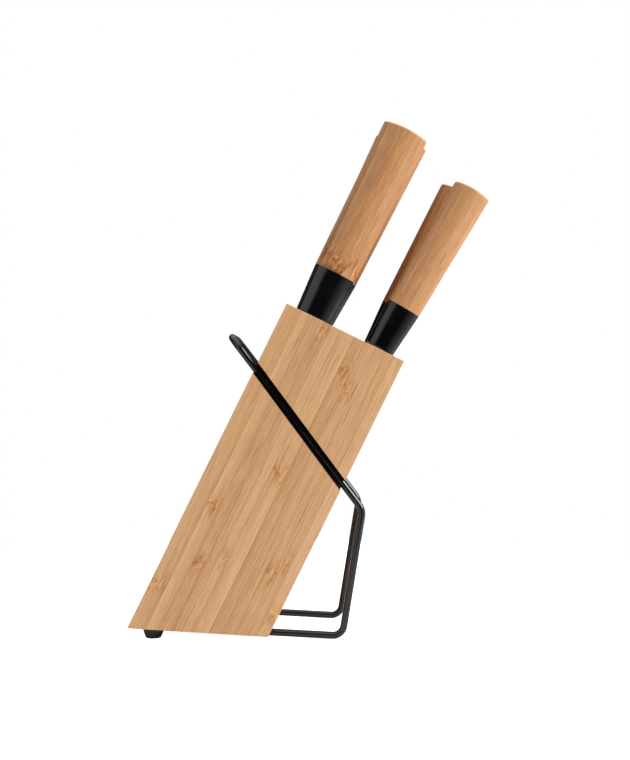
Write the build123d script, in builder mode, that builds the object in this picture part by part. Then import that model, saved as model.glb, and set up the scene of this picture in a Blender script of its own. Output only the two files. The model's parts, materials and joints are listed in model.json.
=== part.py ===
from build123d import *
import os
from math import cos, radians, sin, tan

os.makedirs("parts", exist_ok=True)

# Bamboo knife block that leans forward in a bent wire stand, with five knives.
# +X is the front, the way the handles lean. +Y is the right-hand side. The ground is z = 0,
# and the origin is on the ground below the middle of the overall length and width.
# Millimetres and degrees.

# Block
lean = 26.2  # of the block's long edges, forward from upright
base_slope = 3.5  # the base rises towards the back
back_corner_x = -124.7  # the lowest corner at the back
outer_board = 18.0  # thickness of the two outer boards
base_wall = 20.8  # least wood below a knife slot
back_inset = 19.9  # back face to the axis of the back row
front_inset = 18.2  # front row's axis to the front face
row_web = 8.3  # wood between a back slot and a front slot
lane_gap = 4.0  # between the handles of neighbouring lanes
side_clear = 0.5  # each side of a blade in its slot
edge_clear = 1.5  # at a blade's spine and edge in its slot
tip_clear = 3.0  # below a blade's tip
seat_gap = 0.3  # between a ferrule and the top face

# Wire stand
wire_radius = 2.5
wire_inset = 7.0  # side face to the wire's centre line
cross_inset = 50.5  # back corner to the cross run under the block
floor_reach = 50.85  # front edge of the base to the corner on the ground
run_slope = 3.0
upright_lean = 9.2  # backwards going down
upright_rise = 86.8
brace_lean = 37.2
loop_reach = 27.3  # how far the carrying loop stands out of the back face
cross_bend = 9.0  # bend radii of the wire's centre line
floor_bend = 7.5
knee_bend = 11.0
loop_bend = 11.0
groove_lean = 36.5
groove_clear = 0.8  # each side of the wire in its groove

# Clamp plates and their screws
plate_length = 30.0
plate_width = 11.0
plate_thickness = 1.2
plate_lane = 19.0
plate_touch = 0.05
screw_spread = 9.5
screw_radius = 1.5
screw_length = 12.0
screw_clear = 0.15
head_radius = 3.0
head_height = 1.7
head_taper = 18.0
cross_width = 0.8  # the driver recess is a cross: width and length of its arms, and depth
cross_length = 3.6
cross_depth = 0.9

# Rubber feet
foot_height = 7.5
foot_inset = 16.8  # back corner to the feet, along the base
foot_lane = 13.0  # side face to a foot's axis
foot_radius = 7.4
foot_flat = 4.4
foot_rim = 1.0
foot_bulge = (6.2, 5.1)  # radius and depth that the rounded side passes through
stem_radius = 2.5
stem_length = 9.0
stem_clear = 0.2

# Knives
blade_thickness = 2.0
edge_thickness = 0.4
grind = 0.55  # share of the blade's width that is ground towards the edge
neck_length = 9.0
neck_width = 17.0
heel_drop = 2.0  # slope of the step from the neck to the full width
heel_land = 0.5  # least flat beyond the neck before the grind
wide_blade = 1.6  # a blade wider than this many necks is ground from its own width
spine_inset = 2.2  # a blade's spine from the edge of the ferrule
spine_drop = 0.62  # share of the length at which the spine starts to curve down
spine_pull = ((0.10, 0.88), (0.0, 0.80))  # its curve's handles: share of the tip height, share of the length
belly_pull = (0.65, 0.25, 0.97)  # the edge's curve to the tip: share to the tip, rise, share of the length
tang_width = 9.0
tang_length = 62.0
tang_clear = 0.1
crown = 1.6  # rise of the rounded butt
crown_half = 0.6  # half the crown's span against the butt's width
flat_share = 0.8  # broad face of a grip against its width
face_crown = 0.085  # rise of a broad face against the grip's width
cheek_share = 0.5  # narrow flat of a grip against its depth
corner_round = 1.7
butt_round = 1.4
mouth_round = 0.6

large_grip = dict(end=25.4, joint=29.5, butt=32.7, end_deep=18.0, joint_deep=20.5, butt_deep=23.0)
small_grip = dict(end=20.5, joint=24.2, butt=26.9, end_deep=15.5, joint_deep=17.5, butt_deep=20.0)

# edge is +1 where the cutting edge faces the front and -1 where it faces the back.
# lane is -1 left, 0 middle, +1 right. tilt is the extra forward lean of a knife in its slot,
# aside its shift from the row's axis, and lift how far it stands above its lowest place.
knives = [
    dict(name="carving", grip=large_grip, row="back", lane=-1, edge=1, tilt=0.5, aside=-0.35, lift=0.0,
         ferrule=33.9, handle=111.2, blade=200.0, width=28.0, tip=4.0, belly=0.62),
    dict(name="chef", grip=large_grip, row="back", lane=0, edge=1, tilt=0.4, aside=1.9, lift=0.5,
         ferrule=33.9, handle=110.8, blade=200.0, width=45.0, tip=9.0, belly=0.42),
    dict(name="bread", grip=large_grip, row="back", lane=1, edge=1, tilt=-0.75, aside=-0.1, lift=0.0,
         ferrule=33.9, handle=110.8, blade=200.0, width=30.0, tip=12.0, belly=0.86),
    dict(name="utility", grip=small_grip, row="front", lane=-1, edge=-1, tilt=4.25, aside=0.0, lift=0.0,
         ferrule=32.7, handle=95.5, blade=120.0, width=22.0, tip=5.0, belly=0.55),
    dict(name="paring", grip=small_grip, row="front", lane=1, edge=-1, tilt=1.4, aside=-0.2, lift=2.0,
         ferrule=33.2, handle=98.0, blade=90.0, width=20.0, tip=5.0, belly=0.5),
]


def spine_x(knife):
    return -knife["edge"] * (knife["grip"]["end"] / 2 - spine_inset)


def blade_span(knife):
    """Lowest and highest place that the blade takes across its slot, from the ferrule's axis."""
    reach = knife["blade"] * sin(radians(knife["tilt"]))
    sides = sorted([spine_x(knife), spine_x(knife) + knife["edge"] * knife["width"]])
    return sides[0] - max(reach, 0) - edge_clear, sides[1] + max(-reach, 0) + edge_clear


# ---- What follows from the driving dimensions ----
lane_pitch = large_grip["butt_deep"] + lane_gap
block_width = 2 * (outer_board + lane_pitch)
carving, utility = knives[0], knives[3]
row_span = carving["aside"] + blade_span(carving)[1] + row_web - blade_span(utility)[0]
block_depth = back_inset + row_span + front_inset

for knife in knives:
    row_axis = back_inset if knife["row"] == "back" else back_inset + row_span
    knife["across"] = row_axis + knife["aside"]
    knife["y"] = knife["lane"] * lane_pitch
    low, high = blade_span(knife)
    knife["slot"] = (knife["across"] + low, knife["across"] + high)
    knife["slot_depth"] = knife["blade"] + tip_clear
    tip_over = knife["grip"]["end"] / 2 * sin(radians(abs(knife["tilt"])))
    knife["stand"] = seat_gap + tip_over + knife["lift"]

base_angle = lean - base_slope  # of the base against the square cut of the top
back_edge = base_wall + max(k["slot_depth"] + k["slot"][1] * tan(radians(base_angle)) for k in knives)
front_edge = back_edge - block_depth * tan(radians(base_angle))

up = Vector(sin(radians(lean)), 0, cos(radians(lean)))
forward = Vector(cos(radians(lean)), 0, -sin(radians(lean)))
along_base = Vector(cos(radians(base_slope)), 0, -sin(radians(base_slope)))
base_normal = Vector(sin(radians(base_slope)), 0, cos(radians(base_slope)))
left = Vector(0, -1, 0)

back_base = Vector(back_corner_x, 0, foot_height + foot_inset * sin(radians(base_slope)))
back_top = back_base + up * back_edge
front_base = back_top + forward * block_depth - up * front_edge
block_side = Plane(origin=back_top, x_dir=forward, z_dir=left)

# The wire's corners in the X-Z plane. The floor bend's lowest point stands on the ground.
run = Vector(cos(radians(run_slope)), 0, -sin(radians(run_slope)))
upright = Vector(sin(radians(upright_lean)), 0, cos(radians(upright_lean)))
brace = Vector(-sin(radians(brace_lean)), 0, cos(radians(brace_lean)))
floor_turn = radians(90 - upright_lean + run_slope)
bend_rise = floor_bend * (cos(radians(run_slope)) - 1)
bend_rise += floor_bend * tan(floor_turn / 2) * sin(radians(run_slope))
floor_corner = Vector(front_base.X + floor_reach, 0, wire_radius - bend_rise)
knee = floor_corner + upright * (upright_rise / upright.Z)
brace_to_back = (back_top - knee).dot(forward) / brace.dot(forward)
loop_corner = knee + brace * (brace_to_back + loop_reach)
run_length = (floor_corner.X - back_corner_x - cross_inset) / run.X
cross_mid = floor_corner - run * run_length
wire_y = block_width / 2 - wire_inset
run_plane = Plane(origin=cross_mid, x_dir=run, z_dir=(sin(radians(run_slope)), 0, cos(radians(run_slope))))
channel_half = wire_radius + groove_clear
block_mid = back_top + forward * (block_depth / 2)
groove_mid = knee + brace * ((block_mid - knee).dot(forward) / brace.dot(forward))
groove_run = Vector(-sin(radians(groove_lean)), 0, cos(radians(groove_lean)))


def at_side(point, y):
    return Vector(point.X, y, point.Z)


# ---- Everything cut out of the boards ----
with BuildPart() as slots:
    for knife in knives:
        with BuildSketch(block_side.offset(-knife["y"])):
            with Locations((sum(knife["slot"]) / 2, -knife["slot_depth"] / 2)):
                Rectangle(knife["slot"][1] - knife["slot"][0], knife["slot_depth"])
        extrude(amount=blade_thickness / 2 + side_clear, both=True)

with BuildPart() as side_grooves:
    for side in (-1, 1):
        groove_start = at_side(groove_mid, side * block_width / 2)
        with BuildSketch(Plane(origin=groove_start, x_dir=groove_run, z_dir=left)):
            Rectangle(2 * block_depth, 2 * channel_half)
        extrude(amount=side * (wire_inset + channel_half))

with BuildPart() as base_channel:
    with BuildSketch(run_plane.offset(channel_half)):
        with BuildLine():
            FilletPolyline(
                (run_length, -wire_y), (0, -wire_y), (0, wire_y), (run_length, wire_y), radius=cross_bend
            )
        trace(line_width=2 * channel_half)
    extrude(amount=-2 * channel_half - foot_height)

feet_mid = back_base + along_base * foot_inset
foot_spots = {"left": at_side(feet_mid, foot_lane - block_width / 2),
              "right": at_side(feet_mid, block_width / 2 - foot_lane)}
with BuildPart() as bores:
    for spot in foot_spots.values():
        with BuildSketch(Plane(origin=spot, x_dir=along_base, z_dir=base_normal)):
            Circle(stem_radius + stem_clear)
        extrude(amount=stem_length + stem_clear)
    with BuildSketch(run_plane.offset(-wire_radius)):
        with Locations((-screw_spread, plate_lane), (screw_spread, plate_lane),
                       (-screw_spread, -plate_lane), (screw_spread, -plate_lane)):
            Circle(screw_radius + screw_clear)
    extrude(amount=screw_length + screw_clear)


# ---- Block boards, glued face to face through the middle of each lane of slots ----
def make_board(name, low_y, high_y):
    with BuildPart() as board:
        with BuildSketch(block_side.offset(-high_y)):
            with BuildLine():
                Polyline((0, 0), (block_depth, 0), (block_depth, -front_edge), (0, -back_edge), close=True)
            make_face()
        extrude(amount=high_y - low_y)
        add([slots.part, side_grooves.part, base_channel.part, bores.part], mode=Mode.SUBTRACT)
    board.part.label = name
    export_step(board.part, f"parts/{name}.step")


make_board("left_outer_board", -block_width / 2, -lane_pitch)
make_board("left_inner_board", -lane_pitch, 0)
make_board("right_inner_board", 0, lane_pitch)
make_board("right_outer_board", lane_pitch, block_width / 2)

# ---- Wire stand: one wire bent into a closed loop, made as a half and its mirror image ----
with BuildPart() as wire_stand:
    with BuildLine():
        FilletPolyline(
            cross_mid, at_side(cross_mid, -wire_y), at_side(floor_corner, -wire_y),
            at_side(knee, -wire_y), at_side(loop_corner, -wire_y), loop_corner,
            radius=[cross_bend, floor_bend, knee_bend, loop_bend],
        )
    with BuildSketch(Plane(origin=cross_mid, x_dir=run, z_dir=left)):
        Circle(wire_radius)
    sweep()
    mirror(about=Plane.XZ)
wire_stand.part.label = "wire_stand"
export_step(wire_stand.part, "parts/wire_stand.step")

# ---- Clamp plates that hold the cross run in its channel ----
plate_plane = run_plane.offset(-wire_radius - plate_touch)
for name, y in (("left", -plate_lane), ("right", plate_lane)):
    with BuildPart() as plate:
        with BuildSketch(plate_plane):
            with Locations((0, y)):
                SlotOverall(plate_length, plate_width)
            with Locations((-screw_spread, y), (screw_spread, y)):
                Circle(screw_radius + screw_clear, mode=Mode.SUBTRACT)
        extrude(amount=-plate_thickness)
    plate.part.label = f"{name}_clamp_plate"
    export_step(plate.part, f"parts/{name}_clamp_plate.step")

head_plane = plate_plane.offset(-plate_thickness)
with BuildPart() as clamp_screws:
    for x in (-screw_spread, screw_spread):
        for y in (-plate_lane, plate_lane):
            with BuildSketch(head_plane):
                with Locations((x, y)):
                    Circle(head_radius)
            extrude(amount=-head_height, taper=head_taper)
            with BuildSketch(head_plane):
                with Locations((x, y)):
                    Circle(screw_radius)
            extrude(amount=screw_length)
            with BuildSketch(head_plane.offset(-head_height)):
                with Locations((x, y)):
                    Rectangle(cross_length, cross_width)
                    Rectangle(cross_width, cross_length)
            extrude(amount=cross_depth, mode=Mode.SUBTRACT)
clamp_screws.part.label = "clamp_screws"
export_step(clamp_screws.part, "parts/clamp_screws.step")

# ---- Rubber feet: a tapered bumper with a stem pressed into the base, flat on the ground ----
for name, spot in foot_spots.items():
    with BuildPart() as foot:
        with BuildSketch(Plane(origin=spot, x_dir=along_base, z_dir=left)):
            with BuildLine():
                Polyline((0, stem_length), (stem_radius, stem_length), (stem_radius, 0),
                         (foot_radius, 0), (foot_radius, -foot_rim))
                ThreePointArc((foot_radius, -foot_rim), (foot_bulge[0], -foot_bulge[1]),
                              (foot_flat, -foot_height - foot_rim))
                Polyline((foot_flat, -foot_height - foot_rim), (0, -foot_height - foot_rim), (0, stem_length))
            make_face()
        revolve(axis=Axis(spot, base_normal))
        split(bisect_by=Plane.XY, keep=Keep.TOP)
    foot.part.label = f"{name}_foot"
    export_step(foot.part, f"parts/{name}_foot.step")


# ---- Knives ----
def knife_axes(knife):
    angle = radians(lean + knife["tilt"])
    return Vector(sin(angle), 0, cos(angle)), Vector(cos(angle), 0, -sin(angle))


def knife_plane(knife, height=0.0, side_view=False):
    """Plane at a height along the knife, square to it, or its side view with y along the knife."""
    axis, across = knife_axes(knife)
    seat = back_top + forward * knife["across"] + up * knife["stand"]
    origin = at_side(seat, knife["y"]) + axis * height
    return Plane(origin=origin, x_dir=across, z_dir=left if side_view else axis)


def grip_section(plane, width, deep):
    """Eight-sided section with soft corners: two crowned broad faces, two cheeks, four facets."""
    flat, cheek = flat_share * width / 2, cheek_share * deep / 2
    shoulder = deep / 2 - face_crown * width
    with BuildSketch(plane) as section:
        with BuildLine():
            ThreePointArc((-flat, -shoulder), (0, -deep / 2), (flat, -shoulder))
            Polyline((flat, -shoulder), (width / 2, -cheek), (width / 2, cheek), (flat, shoulder))
            ThreePointArc((flat, shoulder), (0, deep / 2), (-flat, shoulder))
            Polyline((-flat, shoulder), (-width / 2, cheek), (-width / 2, -cheek), (-flat, -shoulder))
        make_face()
        fillet(section.vertices(), corner_round)
    return section.sketch.face()


def tang_hole(plane, depth):
    with BuildPart() as hole:
        with BuildSketch(plane):
            Rectangle(tang_width + 2 * tang_clear, blade_thickness + 2 * tang_clear)
        extrude(amount=depth)
    return hole.part


def make_blade(knife):
    length, width, edge, tip = knife["blade"], knife["width"], knife["edge"], knife["tip"]
    spine, belly = spine_x(knife), knife["belly"]
    to_tip, rise, near_tip = belly_pull
    side = knife_plane(knife, side_view=True)

    def place(across, down):
        return (spine + edge * across, -down)

    with BuildPart() as blade:
        with BuildSketch(side):
            with BuildLine():
                Polyline(place(0, spine_drop * length), place(0, 0), place(neck_width, 0),
                         place(neck_width, neck_length), place(width, neck_length + heel_drop),
                         place(width, belly * length))
                Bezier(place(width, belly * length), place(width, (belly + to_tip * (1 - belly)) * length),
                       place(tip + rise * width, near_tip * length), place(tip, length))
                Bezier(place(tip, length), *[place(x * tip, y * length) for x, y in spine_pull],
                       place(0, spine_drop * length))
            make_face()
        extrude(amount=blade_thickness / 2, both=True)
        with BuildSketch(knife_plane(knife)):
            thick, thin, shoulder = blade_thickness / 2, edge_thickness / 2, (1 - grind) * width
            if width < wide_blade * neck_width:
                shoulder = max(shoulder, neck_width + heel_land)
            ground, sharp = spine + edge * shoulder, spine + edge * width
            with BuildLine():
                Polyline((spine, -thick), (ground, -thick), (sharp, -thin), (sharp, thin),
                         (ground, thick), (spine, thick), close=True)
            make_face()
        extrude(amount=-length, mode=Mode.INTERSECT)
        with BuildSketch(knife_plane(knife)):
            Rectangle(tang_width, blade_thickness)
        extrude(amount=tang_length)
    return blade


def make_ferrule(knife):
    grip = knife["grip"]
    with BuildPart() as ferrule:
        loft([grip_section(knife_plane(knife), grip["end"], grip["end_deep"]),
              grip_section(knife_plane(knife, knife["ferrule"]), grip["joint"], grip["joint_deep"])])
        mouth = ferrule.faces().sort_by(Axis(knife_plane(knife).origin, knife_axes(knife)[0]))[0]
        fillet(mouth.edges(), mouth_round)
        add(tang_hole(knife_plane(knife), knife["ferrule"]), mode=Mode.SUBTRACT)
    return ferrule


def make_handle(knife):
    grip, length = knife["grip"], knife["handle"]
    foot = knife_plane(knife, knife["ferrule"])
    half = crown_half * grip["butt"]
    with BuildPart() as handle:
        loft([grip_section(foot, grip["joint"], grip["joint_deep"]),
              grip_section(foot.offset(length), grip["butt"], grip["butt_deep"])])
        with BuildSketch(knife_plane(knife, knife["ferrule"], side_view=True)):
            with BuildLine():
                ThreePointArc((-half, length - crown), (0, length), (half, length - crown))
                Polyline((half, length - crown), (half, 0), (-half, 0), (-half, length - crown))
            make_face()
        extrude(amount=grip["butt_deep"], both=True, mode=Mode.INTERSECT)
        butt = handle.faces().sort_by(Axis(foot.origin, knife_axes(knife)[0]))[-1]
        fillet(butt.edges(), butt_round)
        add(tang_hole(foot, tang_length - knife["ferrule"] + tang_clear), mode=Mode.SUBTRACT)
    return handle


for knife in knives:
    for piece, solid in (("blade", make_blade(knife)), ("ferrule", make_ferrule(knife)),
                         ("handle", make_handle(knife))):
        solid.part.label = f"{knife['name']}_{piece}"
        export_step(solid.part, f"parts/{knife['name']}_{piece}.step")
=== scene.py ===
import bpy, bmesh, json, math
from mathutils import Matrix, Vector


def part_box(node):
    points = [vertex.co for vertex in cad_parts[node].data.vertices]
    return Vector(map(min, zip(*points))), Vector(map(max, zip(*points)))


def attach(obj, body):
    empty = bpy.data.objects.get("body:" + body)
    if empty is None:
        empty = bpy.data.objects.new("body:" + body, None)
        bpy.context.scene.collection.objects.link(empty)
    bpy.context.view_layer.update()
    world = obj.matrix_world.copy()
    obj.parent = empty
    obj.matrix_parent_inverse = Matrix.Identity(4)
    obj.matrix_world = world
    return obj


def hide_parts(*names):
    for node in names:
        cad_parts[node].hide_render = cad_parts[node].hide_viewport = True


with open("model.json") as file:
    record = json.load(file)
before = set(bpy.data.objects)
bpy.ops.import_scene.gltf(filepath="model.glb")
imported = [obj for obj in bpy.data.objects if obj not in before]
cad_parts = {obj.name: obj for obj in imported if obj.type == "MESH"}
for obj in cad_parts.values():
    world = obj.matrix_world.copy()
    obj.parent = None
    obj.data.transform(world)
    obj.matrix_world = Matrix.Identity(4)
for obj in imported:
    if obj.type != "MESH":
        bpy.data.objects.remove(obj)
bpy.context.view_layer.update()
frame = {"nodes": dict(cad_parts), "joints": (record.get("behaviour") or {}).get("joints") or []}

mm = 0.001
scene = bpy.context.scene
nodes = frame["nodes"]
drawAxis = {joint["child"]: Vector(joint["axis"]) for joint in frame["joints"]}

# directions of the block, read from a board: its highest corner tops the back edge, its rearmost one ends it
boardCorners = [v.co.copy() for v in nodes["left_outer_board"].data.vertices]
backTop = max(boardCorners, key=lambda c: c.z)
backBase = min(boardCorners, key=lambda c: c.x)
blockLean = math.atan2(backTop.x - backBase.x, backTop.z - backBase.z)
blockUp = Vector((math.sin(blockLean), 0, math.cos(blockLean)))
blockForward = Vector((math.cos(blockLean), 0, -math.sin(blockLean)))
frontBase = min(boardCorners, key=lambda c: c.z)
baseRun = frontBase - backBase
baseNormal = Vector((-baseRun.z, 0, baseRun.x)).normalized()
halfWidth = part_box("right_outer_board")[1].y
blockDepth = max((c - backTop).dot(blockForward) for c in boardCorners)
seams = [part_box("left_inner_board")[0].y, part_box("left_inner_board")[1].y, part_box("right_outer_board")[0].y]


def feed(tree, node, inputs):
    # inputs: socket name or index to a value or to another node's socket
    for key, value in inputs.items():
        if isinstance(value, bpy.types.NodeSocket):
            tree.links.new(value, node.inputs[key])
        else:
            node.inputs[key].default_value = value
    return node


def addNode(tree, kind, inputs=None, **settings):
    node = tree.nodes.new("ShaderNode" + kind)
    for key, value in settings.items():
        setattr(node, key, value)
    return feed(tree, node, inputs or {})


def calc(tree, operation, *values):
    return addNode(tree, "Math", dict(enumerate(values)), operation=operation).outputs[0]


def scaled(tree, vector, x, y, z):
    return addNode(tree, "VectorMath", {0: vector, 1: (x, y, z)}, operation="MULTIPLY").outputs[0]


def spread(tree, value, low, high, toLow=0.0, toHigh=1.0, smooth=False):
    kind = "SMOOTHSTEP" if smooth else "LINEAR"
    inputs = {"Value": value, "From Min": low, "From Max": high, "To Min": toLow, "To Max": toHigh}
    return addNode(tree, "MapRange", inputs, interpolation_type=kind).outputs[0]


def noise(tree, vector, scales, detail=2.0, roughness=0.5):
    # scales: how often the pattern repeats along each axis of the vector
    inputs = {"Vector": scaled(tree, vector, *scales), "Scale": 1.0, "Detail": detail, "Roughness": roughness}
    return addNode(tree, "TexNoise", inputs).outputs["Fac"]


def blendColour(tree, factor, first, second, mode="MIX", clamped=True):
    return addNode(tree, "Mix", {0: factor, 6: first, 7: second}, data_type="RGBA", blend_type=mode,
                   clamp_factor=clamped).outputs[2]


def srgb(red, green, blue):
    parts = [c / 255 for c in (red, green, blue)]
    return tuple(c / 12.92 if c < 0.04045 else ((c + 0.055) / 1.055) ** 2.4 for c in parts) + (1.0,)


def newGroup(name, inputs, outputs):
    group = bpy.data.node_groups.new(name, "ShaderNodeTree")
    for direction, sockets in (("INPUT", inputs), ("OUTPUT", outputs)):
        for socketName, kind in sockets:
            group.interface.new_socket(name=socketName, in_out=direction, socket_type="NodeSocket" + kind)
    return group, group.nodes.new("NodeGroupInput").outputs, group.nodes.new("NodeGroupOutput").inputs


def newMaterial(name):
    material = bpy.data.materials.new(name)
    material.use_nodes = True
    tree = material.node_tree
    tree.nodes.clear()
    shader = addNode(tree, "BsdfPrincipled")
    addNode(tree, "OutputMaterial", {"Surface": shader.outputs[0]})
    return material, tree, shader


def useGroup(tree, group, inputs):
    node = tree.nodes.new("ShaderNodeGroup")
    node.node_tree = group
    return feed(tree, node, inputs).outputs


def localCoords(tree, origin, lean):
    # object coordinates turned to lie along the piece, in millimetres: x forward, y across, z along the grain
    coords = addNode(tree, "TexCoord").outputs["Object"]
    mapping = addNode(tree, "Mapping", {"Vector": coords, "Location": origin, "Rotation": (0, lean, 0),
                                        "Scale": (mm, mm, mm)}, vector_type="TEXTURE")
    return mapping.outputs[0]


# bamboo patterns: how often each repeats per millimetre forward, across and along the grain, and its share
grain = dict(
    wave=(0.30, 0.30, 0.02), wander=4.5, swing=(0.38, 0.38, 0.13), fanReach=3.2, bandCore=0.5, bandEnd=13.0,
    broad=(0.16, 0.16, 0.006), broadShare=0.35, fibre=(0.85, 0.85, 0.009), fibreShare=1.0,
    fine=(1.7, 1.7, 0.045), fineShare=3.6, burl=(0.75, 0.75, 0.15), burlMiddle=0.55, burlShare=6.5,
    hue=(0.30, 0.30, 0.007), hueWarmth=0.75, bandWarmth=1.5,
    ringPlace=0.6, ringEdge=(0.2, 1.1), ringShare=(0.10, 0.60),
    vein=(0.42, 0.42, 0.004), veinEdge=(0.012, 0.045), veinShare=0.28, gaps=(0.35, 0.35, 0.030),
    dash=(1.5, 1.5, 0.085), dashShare=0.24, smooth=0.40, worn=0.56)


def makeBambooGroup():
    # bamboo fibres along z, with a knuckle mark where z passes Knuckle
    group, given, made = newGroup("bamboo fibres", [
        ("Coords", "Vector"), ("Seed", "Float"), ("Tone", "Float"), ("Knuckle", "Float"),
        ("Contrast", "Float"), ("Pale", "Color"), ("Deep", "Color"), ("Warm", "Color"), ("Streak", "Color"),
        ("Joint", "Float")],
        [("Color", "Color"), ("Height", "Float"), ("Roughness", "Float")])
    seedShift = addNode(group, "CombineXYZ", {0: calc(group, "MULTIPLY", given["Seed"], 61.0),
                                              1: calc(group, "MULTIPLY", given["Seed"], 23.0),
                                              2: calc(group, "MULTIPLY", given["Seed"], 911.0)}).outputs[0]
    place = addNode(group, "VectorMath", {0: given["Coords"], 1: seedShift}, operation="ADD").outputs[0]
    along = addNode(group, "SeparateXYZ", {0: given["Coords"]}).outputs[2]
    placeParts = addNode(group, "SeparateXYZ", {0: place}).outputs

    # near the knuckle the fibres swing aside and back
    wave = noise(group, place, grain["wave"], 1.0)
    swing = noise(group, place, grain["swing"], 1.0)
    away = calc(group, "ADD", calc(group, "SUBTRACT", along, given["Knuckle"]),
                spread(group, wave, 0.2, 0.8, -grain["wander"], grain["wander"]))
    band = calc(group, "ABSOLUTE", away)
    band = spread(group, band, grain["bandCore"], grain["bandEnd"], 1.0, 0.0, smooth=True)
    fan = calc(group, "MULTIPLY", band, spread(group, swing, 0.0, 1.0, -grain["fanReach"], grain["fanReach"]))
    bent = addNode(group, "CombineXYZ", {0: calc(group, "ADD", placeParts[0], fan), 1: placeParts[1],
                                         2: placeParts[2]}).outputs[0]

    fibre = noise(group, bent, grain["fibre"], 5.0, 0.7)
    fine = noise(group, bent, grain["fine"], 3.0, 0.8)
    broad = noise(group, bent, grain["broad"])
    hue = noise(group, bent, grain["hue"], 4.0, 0.6)
    burl = noise(group, bent, grain["burl"], 2.5, 0.65)
    vein = noise(group, bent, grain["vein"], 2.0, 0.45)
    gaps = noise(group, place, grain["gaps"])
    vein = calc(group, "ABSOLUTE", calc(group, "SUBTRACT", vein, 0.5))
    vein = spread(group, vein, *grain["veinEdge"], 1.0, 0.0)
    vein = calc(group, "MULTIPLY", vein, spread(group, gaps, 0.45, 0.60))
    dash = spread(group, noise(group, bent, grain["dash"], 1.5), 0.62, 0.76)

    tone = given["Tone"]
    for value, share in ((broad, "broadShare"), (fibre, "fibreShare"), (fine, "fineShare")):
        part = calc(group, "MULTIPLY", calc(group, "SUBTRACT", value, 0.5), grain[share])
        tone = calc(group, "ADD", tone, calc(group, "MULTIPLY", part, given["Contrast"]))
    burlTone = calc(group, "MULTIPLY", calc(group, "SUBTRACT", burl, grain["burlMiddle"]), grain["burlShare"])
    burlTone = calc(group, "MULTIPLY", burlTone, given["Contrast"])
    tone = calc(group, "ADD", tone, calc(group, "MULTIPLY", burlTone, band))
    colour = blendColour(group, tone, given["Deep"], given["Pale"], clamped=False)
    warmth = calc(group, "ADD", spread(group, hue, 0.40, 0.62, 0.0, grain["hueWarmth"]),
                  calc(group, "MULTIPLY", band, grain["bandWarmth"]))
    colour = blendColour(group, warmth, colour, given["Warm"], "MULTIPLY")
    ring = spread(group, calc(group, "ABSOLUTE", calc(group, "SUBTRACT", away, grain["ringPlace"])),
                  *grain["ringEdge"], 1.0, 0.0, smooth=True)
    ring = calc(group, "MULTIPLY", ring, spread(group, burl, 0.60, 0.48, *grain["ringShare"]))
    ring = calc(group, "MULTIPLY", ring, given["Contrast"])
    marks = calc(group, "ADD", calc(group, "MULTIPLY", vein, grain["veinShare"]),
                 calc(group, "MULTIPLY", dash, grain["dashShare"]))
    marks = calc(group, "MAXIMUM", marks, calc(group, "MAXIMUM", ring, given["Joint"]))
    colour = blendColour(group, marks, colour, given["Streak"])

    height = calc(group, "ADD", fibre, calc(group, "MULTIPLY", fine, 0.5))
    height = calc(group, "SUBTRACT", height, calc(group, "MULTIPLY", marks, 0.5))
    group.links.new(colour, made["Color"])
    group.links.new(height, made["Height"])
    group.links.new(spread(group, fibre, 0.3, 0.7, grain["smooth"], grain["worn"]), made["Roughness"])
    return group


def makeScuffGroup():
    # faint handling marks for moulded and coated surfaces: roughness between two limits, and a fine height
    group, given, made = newGroup("scuffs", [("Smooth", "Float"), ("Worn", "Float"), ("Grain", "Float")],
                                  [("Roughness", "Float"), ("Height", "Float"), ("Mask", "Float")])
    coords = addNode(group, "TexCoord").outputs["Object"]
    cloud = noise(group, coords, (55, 55, 55), 4.0, 0.6)
    fineCoords = addNode(group, "VectorMath", {0: coords, "Scale": given["Grain"]}, operation="SCALE")
    pit = noise(group, fineCoords.outputs[0], (1, 1, 1))
    mask = spread(group, cloud, 0.35, 0.70)
    rough = addNode(group, "Mix", {0: mask, 2: given["Smooth"], 3: given["Worn"]}).outputs[0]
    group.links.new(rough, made["Roughness"])
    group.links.new(pit, made["Height"])
    group.links.new(mask, made["Mask"])
    return group


bambooGroup = makeBambooGroup()
scuffGroup = makeScuffGroup()
print("node groups made")


def ramp(tree, factor, stops, kind):
    # a ramp of plain values at places from 0 to 1
    node = addNode(tree, "ValToRGB", {"Fac": factor})
    node.color_ramp.interpolation = kind
    elements = node.color_ramp.elements
    while len(elements) > 1:
        elements.remove(elements[-1])
    for index, (place, value) in enumerate(stops):
        element = elements[0] if index == 0 else elements.new(place)
        element.position = place
        element.color = (value, value, value, 1)
    return node.outputs[0]


stripStep = 0.0005  # share of the width between two strips' tones
layerGlue = 0.16  # millimetres


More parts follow.
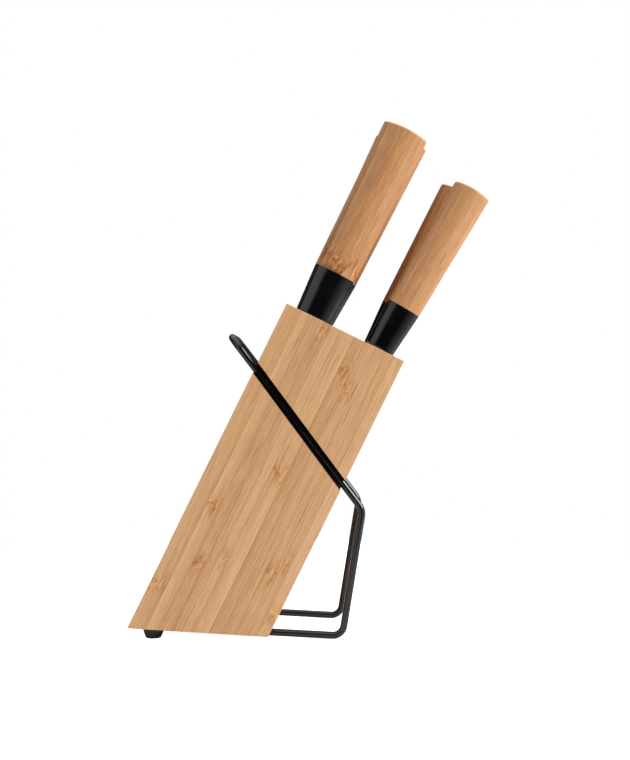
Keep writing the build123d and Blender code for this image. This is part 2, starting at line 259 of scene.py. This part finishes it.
def bambooMaterial(name, look, origin, lean, width):
    # strips lie side by side across x, in layers through y; each has its own tone, fibres and knuckle
    material, tree, shader = newMaterial(name)
    coords = localCoords(tree, origin, lean)
    parts = addNode(tree, "SeparateXYZ", {0: coords}).outputs
    depth = calc(tree, "ADD", parts[1], look["layerStart"])
    layer = calc(tree, "FLOOR", calc(tree, "DIVIDE", depth, look["layer"]))
    shift = calc(tree, "MULTIPLY", layer, look["layerShift"])
    across = calc(tree, "DIVIDE", calc(tree, "ADD", parts[0], shift), width)

    edges = [row[0] / look["stripWidth"] for row in look["strips"]] + [1.0]
    toneStops, knuckleStops = [], []
    for (place, left, right, knuckle), start, end in zip(look["strips"], edges, edges[1:]):
        toneStops += [(start + stripStep, left), (end - stripStep, right)]
        knuckleStops.append((start, knuckle / look["length"]))
    wrapped = calc(tree, "FRACT", across)
    tone = ramp(tree, wrapped, toneStops, "LINEAR")
    here = ramp(tree, wrapped, knuckleStops, "CONSTANT")
    glue = look["glue"] / width
    before = ramp(tree, calc(tree, "FRACT", calc(tree, "SUBTRACT", across, glue)), knuckleStops, "CONSTANT")
    after = ramp(tree, calc(tree, "FRACT", calc(tree, "ADD", across, glue)), knuckleStops, "CONSTANT")
    joint = calc(tree, "SUBTRACT", 1.0, calc(tree, "COMPARE", before, after, 0.002))
    layerPlace = calc(tree, "ADD", parts[1], look["layerStart"] + layerGlue / 2)
    layerPlace = calc(tree, "FRACT", calc(tree, "DIVIDE", layerPlace, look["layer"]))
    layerJoint = calc(tree, "LESS_THAN", layerPlace, layerGlue / look["layer"])
    joint = calc(tree, "MULTIPLY", calc(tree, "MAXIMUM", joint, layerJoint), look["glueStrength"])

    seed = calc(tree, "FRACT", calc(tree, "ADD", calc(tree, "MULTIPLY", here, 7.31),
                                    calc(tree, "ADD", calc(tree, "MULTIPLY", layer, 0.377), look["seed"])))
    knuckle = calc(tree, "MULTIPLY", here, -look["length"])
    knuckle = calc(tree, "ADD", knuckle, calc(tree, "MULTIPLY", layer, look["knuckleShift"]))
    out = useGroup(tree, bambooGroup, {
        "Coords": coords, "Seed": seed, "Tone": tone, "Knuckle": knuckle, "Contrast": look["contrast"],
        "Pale": srgb(*look["pale"]), "Deep": srgb(*look["deep"]), "Warm": (*look["warm"], 1),
        "Streak": srgb(*look["streak"]), "Joint": joint})
    bump = addNode(tree, "Bump", {"Height": out["Height"], "Strength": look["bump"], "Distance": 0.0002})
    feed(tree, shader, {"Base Color": out["Color"], "Roughness": out["Roughness"], "Normal": bump.outputs[0],
                        "Coat Weight": look["lacquer"], "Coat Roughness": 0.35, "Specular IOR Level": 0.35})
    return material


# each strip: where it starts, its tone at the start and the end, how far down its knuckle is, in millimetres
blockLook = dict(
    pale=(203, 162, 120), deep=(175, 131, 90), warm=(1.0, 0.94, 0.83), streak=(124, 74, 40), contrast=0.64,
    bump=0.35, lacquer=0.12, glue=0.22, glueStrength=0.45, layer=4.5, layerStart=47.25, layerShift=34.7,
    knuckleShift=17.0, seed=0.0, stripWidth=90.0, length=250.0, edge=0.0003,
    strips=[(0.0, 0.62, 0.38, 211.0), (11.3, 0.95, 0.30, 147.0), (20.3, 0.45, 0.34, 187.0),
            (28.3, 0.22, 0.50, 6.0), (34.8, 0.62, 0.66, 173.0), (41.2, 0.42, 0.80, 107.0),
            (51.9, 0.16, 0.40, 23.0), (60.0, 0.34, 0.50, 36.0), (68.4, 0.40, 0.52, 171.0),
            (76.6, 0.50, 0.46, 159.0), (82.0, 0.72, 0.70, 197.0)])
blockOrigin = backTop * Vector((1, 0, 1))
blockBamboo = bambooMaterial("block bamboo", blockLook, blockOrigin, blockLean, blockDepth / mm)
# a dark copy of the block bamboo, painted into slots, grooves and bores as shade
recessShadeLook = dict(blockLook, pale=(84, 56, 34), deep=(46, 30, 20), streak=(24, 16, 11), bump=0.6, lacquer=0.0)
recessShadeBamboo = bambooMaterial("bamboo with painted recess shade", recessShadeLook, blockOrigin, blockLean, blockDepth / mm)
print("block material made")


meshing = dict(weld=2e-6, flatAngle=0.5, edgeAngle=20, onPlane=1e-5)


def softCopy(nodeName, smoothAngle, edgeRadius=0.0, keepSharp=(), convex=False):
    # a merged copy of a CAD node with rounded outer edges; edges on the planes in keepSharp stay as they are
    source = nodes[nodeName]
    mesh = source.data.copy()
    mesh.name = nodeName + "_finished"
    mesh.materials.clear()
    build = bmesh.new()
    build.from_mesh(mesh)
    bmesh.ops.remove_doubles(build, verts=build.verts, dist=meshing["weld"])
    if convex:
        # glossy convex parts are wrapped again, so no dented triangle spoils a highlight
        bmesh.ops.delete(build, geom=build.edges[:], context="EDGES_FACES")
        bmesh.ops.convex_hull(build, input=build.verts[:])
        bmesh.ops.delete(build, geom=[v for v in build.verts if not v.link_faces], context="VERTS")
    else:
        bmesh.ops.dissolve_limit(build, angle_limit=math.radians(meshing["flatAngle"]), verts=build.verts,
                                 edges=build.edges)
    if edgeRadius:
        near = meshing["onPlane"]
        sharp = [edge for edge in build.edges
                 if edge.is_manifold and edge.calc_face_angle(0) > math.radians(meshing["edgeAngle"])
                 and not any(all(abs(v.co.y - y) < near for v in edge.verts) for y in keepSharp)]
        bmesh.ops.bevel(build, geom=sharp, offset=edgeRadius, affect="EDGES", segments=2, profile=0.5,
                        material=-1, clamp_overlap=True)
    bmesh.ops.recalc_face_normals(build, faces=build.faces)
    build.to_mesh(mesh)
    build.free()
    piece = bpy.data.objects.new(nodeName + "_finished", mesh)
    scene.collection.objects.link(piece)
    mesh.shade_smooth()
    mesh.set_sharp_from_angle(angle=math.radians(smoothAngle))
    weighted = piece.modifiers.new("even shading", "WEIGHTED_NORMAL")
    weighted.keep_sharp = True
    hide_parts(nodeName)
    return piece


def finishPiece(piece, material, body):
    piece.data.materials.append(material)
    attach(piece, body)


def insideBlock(point):
    # how far a point lies inside the block's two nearest outer faces
    fromTop = (backTop - point).dot(blockUp)
    fromBack = (point - backTop).dot(blockForward)
    return sorted([fromTop, fromBack, blockDepth - fromBack, halfWidth - abs(point.y),
                   (point - backBase).dot(baseNormal)])[:2]


for side in ("left_outer", "left_inner", "right_inner", "right_outer"):
    boardPiece = softCopy(side + "_board", 35, blockLook["edge"], seams)
    finishPiece(boardPiece, blockBamboo, "block")
    boardPiece.data.materials.append(recessShadeBamboo)
    for face in boardPiece.data.polygons:
        # slots, grooves and bores take a dark bamboo as painted shade inside the recesses; the glued faces
        # between boards stay plain
        glued = any(abs(face.center.y - y) < blockLook["edge"] / 5 for y in seams)
        nearest, second = insideBlock(face.center)
        if not glued and nearest > blockLook["edge"] / 10 and second > 2 * blockLook["edge"]:
            face.material_index = 1
print("boards made")


def coatedMaterial(name, look):
    material, tree, shader = newMaterial(name)
    out = useGroup(tree, scuffGroup, {"Smooth": look["smooth"], "Worn": look["worn"], "Grain": look["grain"]})
    scuffed = tuple(c * 1.5 + 0.002 for c in look["colour"][:3]) + (1,)
    tint = blendColour(tree, out["Mask"], look["colour"], scuffed)
    bump = addNode(tree, "Bump", {"Height": out["Height"], "Strength": look["bump"], "Distance": 0.0001})
    feed(tree, shader, {"Base Color": tint, "Roughness": out["Roughness"], "Normal": bump.outputs[0]})
    return material


wireLook = dict(colour=(0.0035, 0.0035, 0.0045, 1), smooth=0.09, worn=0.17, grain=900, bump=0.05)
footLook = dict(colour=(0.018, 0.018, 0.020, 1), smooth=0.55, worn=0.75, grain=1600, bump=0.30)
wirePaint = coatedMaterial("black wire coating", wireLook)
footRubber = coatedMaterial("foot rubber", footLook)
finishPiece(softCopy("wire_stand", 60), wirePaint, "block")
for side in ("left", "right"):
    finishPiece(softCopy(side + "_foot", 40), footRubber, "block")
print("stand and feet made")


def steelMaterial(name, look, origin, lean):
    # satin steel: brush lines run across the blade, with a soft cloudy variation
    material, tree, shader = newMaterial(name)
    coords = localCoords(tree, origin, lean)
    lines = noise(tree, coords, (look["along"], 1.0, look["across"]), 3.0, 0.7)
    cloud = noise(tree, coords, (0.05, 0.05, 0.05), 3.0)
    rough = calc(tree, "ADD", spread(tree, lines, 0.3, 0.7, look["smooth"], look["worn"]),
                 spread(tree, cloud, 0.3, 0.7, -0.03, 0.05))
    tone = calc(tree, "ADD", calc(tree, "MULTIPLY", lines, 0.5), calc(tree, "MULTIPLY", cloud, 0.5))
    colour = blendColour(tree, tone, look["deep"], look["pale"])
    bump = addNode(tree, "Bump", {"Height": lines, "Strength": look["bump"], "Distance": 0.00005})
    feed(tree, shader, {"Base Color": colour, "Roughness": rough, "Normal": bump.outputs[0], "Metallic": 1.0})
    return material


clampLook = dict(along=0.4, across=6.0, smooth=0.30, worn=0.42, bump=0.2, deep=(0.36, 0.36, 0.38, 1),
                 pale=(0.55, 0.55, 0.57, 1))
clampSteel = steelMaterial("clamp steel", clampLook, (0, 0, 0), 0.0)
for name in ("left_clamp_plate", "right_clamp_plate", "clamp_screws"):
    nodes[name].data.materials.clear()
    nodes[name].data.materials.append(clampSteel)

ferruleLook = dict(colour=(0.0018, 0.0017, 0.0026, 1), smooth=0.08, worn=0.14, grain=500, bump=0.03)
ferruleBlack = coatedMaterial("ferrule black", ferruleLook)
bladeLook = dict(along=0.15, across=9.0, smooth=0.20, worn=0.34, bump=0.15, deep=(0.50, 0.50, 0.51, 1),
                 pale=(0.66, 0.66, 0.67, 1))
handleLook = dict(
    pale=(202, 156, 110), deep=(164, 116, 75), warm=(1.0, 0.92, 0.78), streak=(124, 72, 38), contrast=0.66,
    bump=0.40, lacquer=0.10, glue=0.08, glueStrength=0.20, layer=9.0, layerStart=12.5, layerShift=13.0,
    knuckleShift=-37.0, seed=0.4, stripWidth=32.0, length=112.0,
    strips=[(0.0, 0.30, 0.24, 99.0), (7.5, 0.22, 0.16, 104.0), (15.0, 0.22, 0.30, 106.0),
            (21.5, 0.28, 0.32, 103.0), (28.0, 0.22, 0.16, 108.0)])
# the front-row utility handle's strips run from darker on the left to paler on the right, a painted light
# gradient from the right, and show no knuckle on their side; the paring handle takes the same strips, darker
# throughout
rightLitStrips = [(0.0, 0.20, 0.16, 190.0), (6.0, 0.24, 0.30, 196.0), (13.0, 0.30, 0.32, 203.0),
              (19.5, 0.46, 0.42, 185.0), (26.0, 0.42, 0.36, 178.0)]
darkStrips = [(start, left - 0.35, right - 0.35, knuckle) for start, left, right, knuckle in rightLitStrips]
handleChanges = dict(utility_knife=dict(strips=rightLitStrips), paring_knife=dict(strips=darkStrips, seed=0.9))

for count, body in enumerate(sorted(drawAxis)):
    knife = body[:-len("_knife")]
    lean = math.atan2(drawAxis[body].x, drawAxis[body].z)
    forward = Vector((math.cos(lean), 0, -math.sin(lean)))
    handleCorners = [v.co for v in nodes[knife + "_handle"].data.vertices]
    topEnd = max(c.dot(drawAxis[body]) for c in handleCorners)
    backEdge = min(c.dot(forward) for c in handleCorners)
    frontEdge = max(c.dot(forward) for c in handleCorners)
    middleY = (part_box(knife + "_handle")[0].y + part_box(knife + "_handle")[1].y) / 2
    origin = drawAxis[body] * topEnd + forward * backEdge + Vector((0, middleY, 0))
    look = dict(handleLook, seed=handleLook["seed"] + 0.137 * count)
    look.update(handleChanges.get(body, {}))
    bamboo = bambooMaterial(knife + " handle bamboo", look, origin, lean, (frontEdge - backEdge) / mm)
    steel = steelMaterial(knife + " blade steel", bladeLook, origin, lean)
    finishPiece(softCopy(knife + "_handle", 50), bamboo, body)
    finishPiece(softCopy(knife + "_ferrule", 14, convex=True), ferruleBlack, body)
    finishPiece(softCopy(knife + "_blade", 12), steel, body)
print("knives made")


# camera square to the block's side
cameraLook = dict(lens=60, sensor=36, back=0.867, rise=0.1786, aside=0.00405, nearest=0.05, furthest=60)
camera = bpy.data.objects.new("camera", bpy.data.cameras.new("camera"))
scene.collection.objects.link(camera)
camera.data.lens = cameraLook["lens"]
camera.data.sensor_width = cameraLook["sensor"]
camera.location = (cameraLook["aside"], -halfWidth - cameraLook["back"], cameraLook["rise"])
camera.rotation_euler = (math.radians(90), 0, 0)
camera.data.clip_start, camera.data.clip_end = cameraLook["nearest"], cameraLook["furthest"]
scene.camera = camera

# a pale floor in a white tent that opens towards the camera: brightness by compass angle, 0 at the opening
studio = dict(
    floorRadius=0.50, floorTone=0.62, floorGlow=0.97, topGlow=1.6, topEdge=(0.40, 0.85), strongest=3.0,
    keyPlace=(1.45, -0.55, 0.95), keyAim=(0, 0, 0.2), keySize=0.9, keyPower=43.0,
    ring=[(-180, 0.10), (-120, 0.10), (-78, 0.20), (-62, 1.0), (-54, 1.3), (-27, 1.10), (-20, 0.0), (17, 0.0),
          (30, 0.40), (46, 0.95), (62, 0.85), (86, 0.5), (97, 0.8), (103, 2.2), (118, 2.2), (124, 0.6),
          (150, 0.10), (180, 0.10)])
floorBuild = bmesh.new()
bmesh.ops.create_circle(floorBuild, cap_ends=True, segments=96, radius=studio["floorRadius"])
floorMesh = bpy.data.meshes.new("floor")
floorBuild.to_mesh(floorMesh)
floorBuild.free()
floor = bpy.data.objects.new("floor", floorMesh)
scene.collection.objects.link(floor)
floorPaint, floorTree, floorShader = newMaterial("floor paint")
isSeen = addNode(floorTree, "LightPath").outputs["Is Camera Ray"]
feed(floorTree, floorShader, {
    "Base Color": (*[studio["floorTone"]] * 3, 1), "Roughness": 0.9, "Specular IOR Level": 0.0,
    "Emission Color": (1, 1, 1, 1),
    "Emission Strength": calc(floorTree, "MULTIPLY", isSeen, studio["floorGlow"])})
floorMesh.materials.append(floorPaint)

world = bpy.data.worlds.new("studio")
scene.world = world
world.use_nodes = True
sky = world.node_tree
sky.nodes.clear()
direction = addNode(sky, "SeparateXYZ", {0: addNode(sky, "TexCoord").outputs["Generated"]}).outputs
compass = calc(sky, "ARCTAN2", direction[0], calc(sky, "MULTIPLY", direction[1], -1.0))
stops = [(angle / 360 + 0.5, value / studio["strongest"]) for angle, value in studio["ring"]]
ring = ramp(sky, spread(sky, compass, -math.pi, math.pi), stops, "LINEAR")
ring = calc(sky, "MULTIPLY", ring, studio["strongest"])
glow = calc(sky, "MAXIMUM", ring, spread(sky, direction[2], *studio["topEdge"], 0.0, studio["topGlow"]))
seen = addNode(sky, "LightPath").outputs["Is Camera Ray"]
strength = addNode(sky, "Mix", {0: seen, 2: glow, 3: 1.0}).outputs[0]
background = addNode(sky, "Background", {"Color": (1, 1, 1, 1), "Strength": strength})
addNode(sky, "OutputWorld", {0: background.outputs[0]})
scene.view_settings.view_transform = "Standard"

# a large soft key light on the right
key = bpy.data.objects.new("key light", bpy.data.lights.new("key light", "AREA"))
scene.collection.objects.link(key)
key.data.size = studio["keySize"]
key.data.energy = studio["keyPower"]
key.location = studio["keyPlace"]
key.rotation_euler = (Vector(studio["keyAim"]) - key.location).to_track_quat("-Z", "Y").to_euler()
key.visible_camera = False
print("studio made")
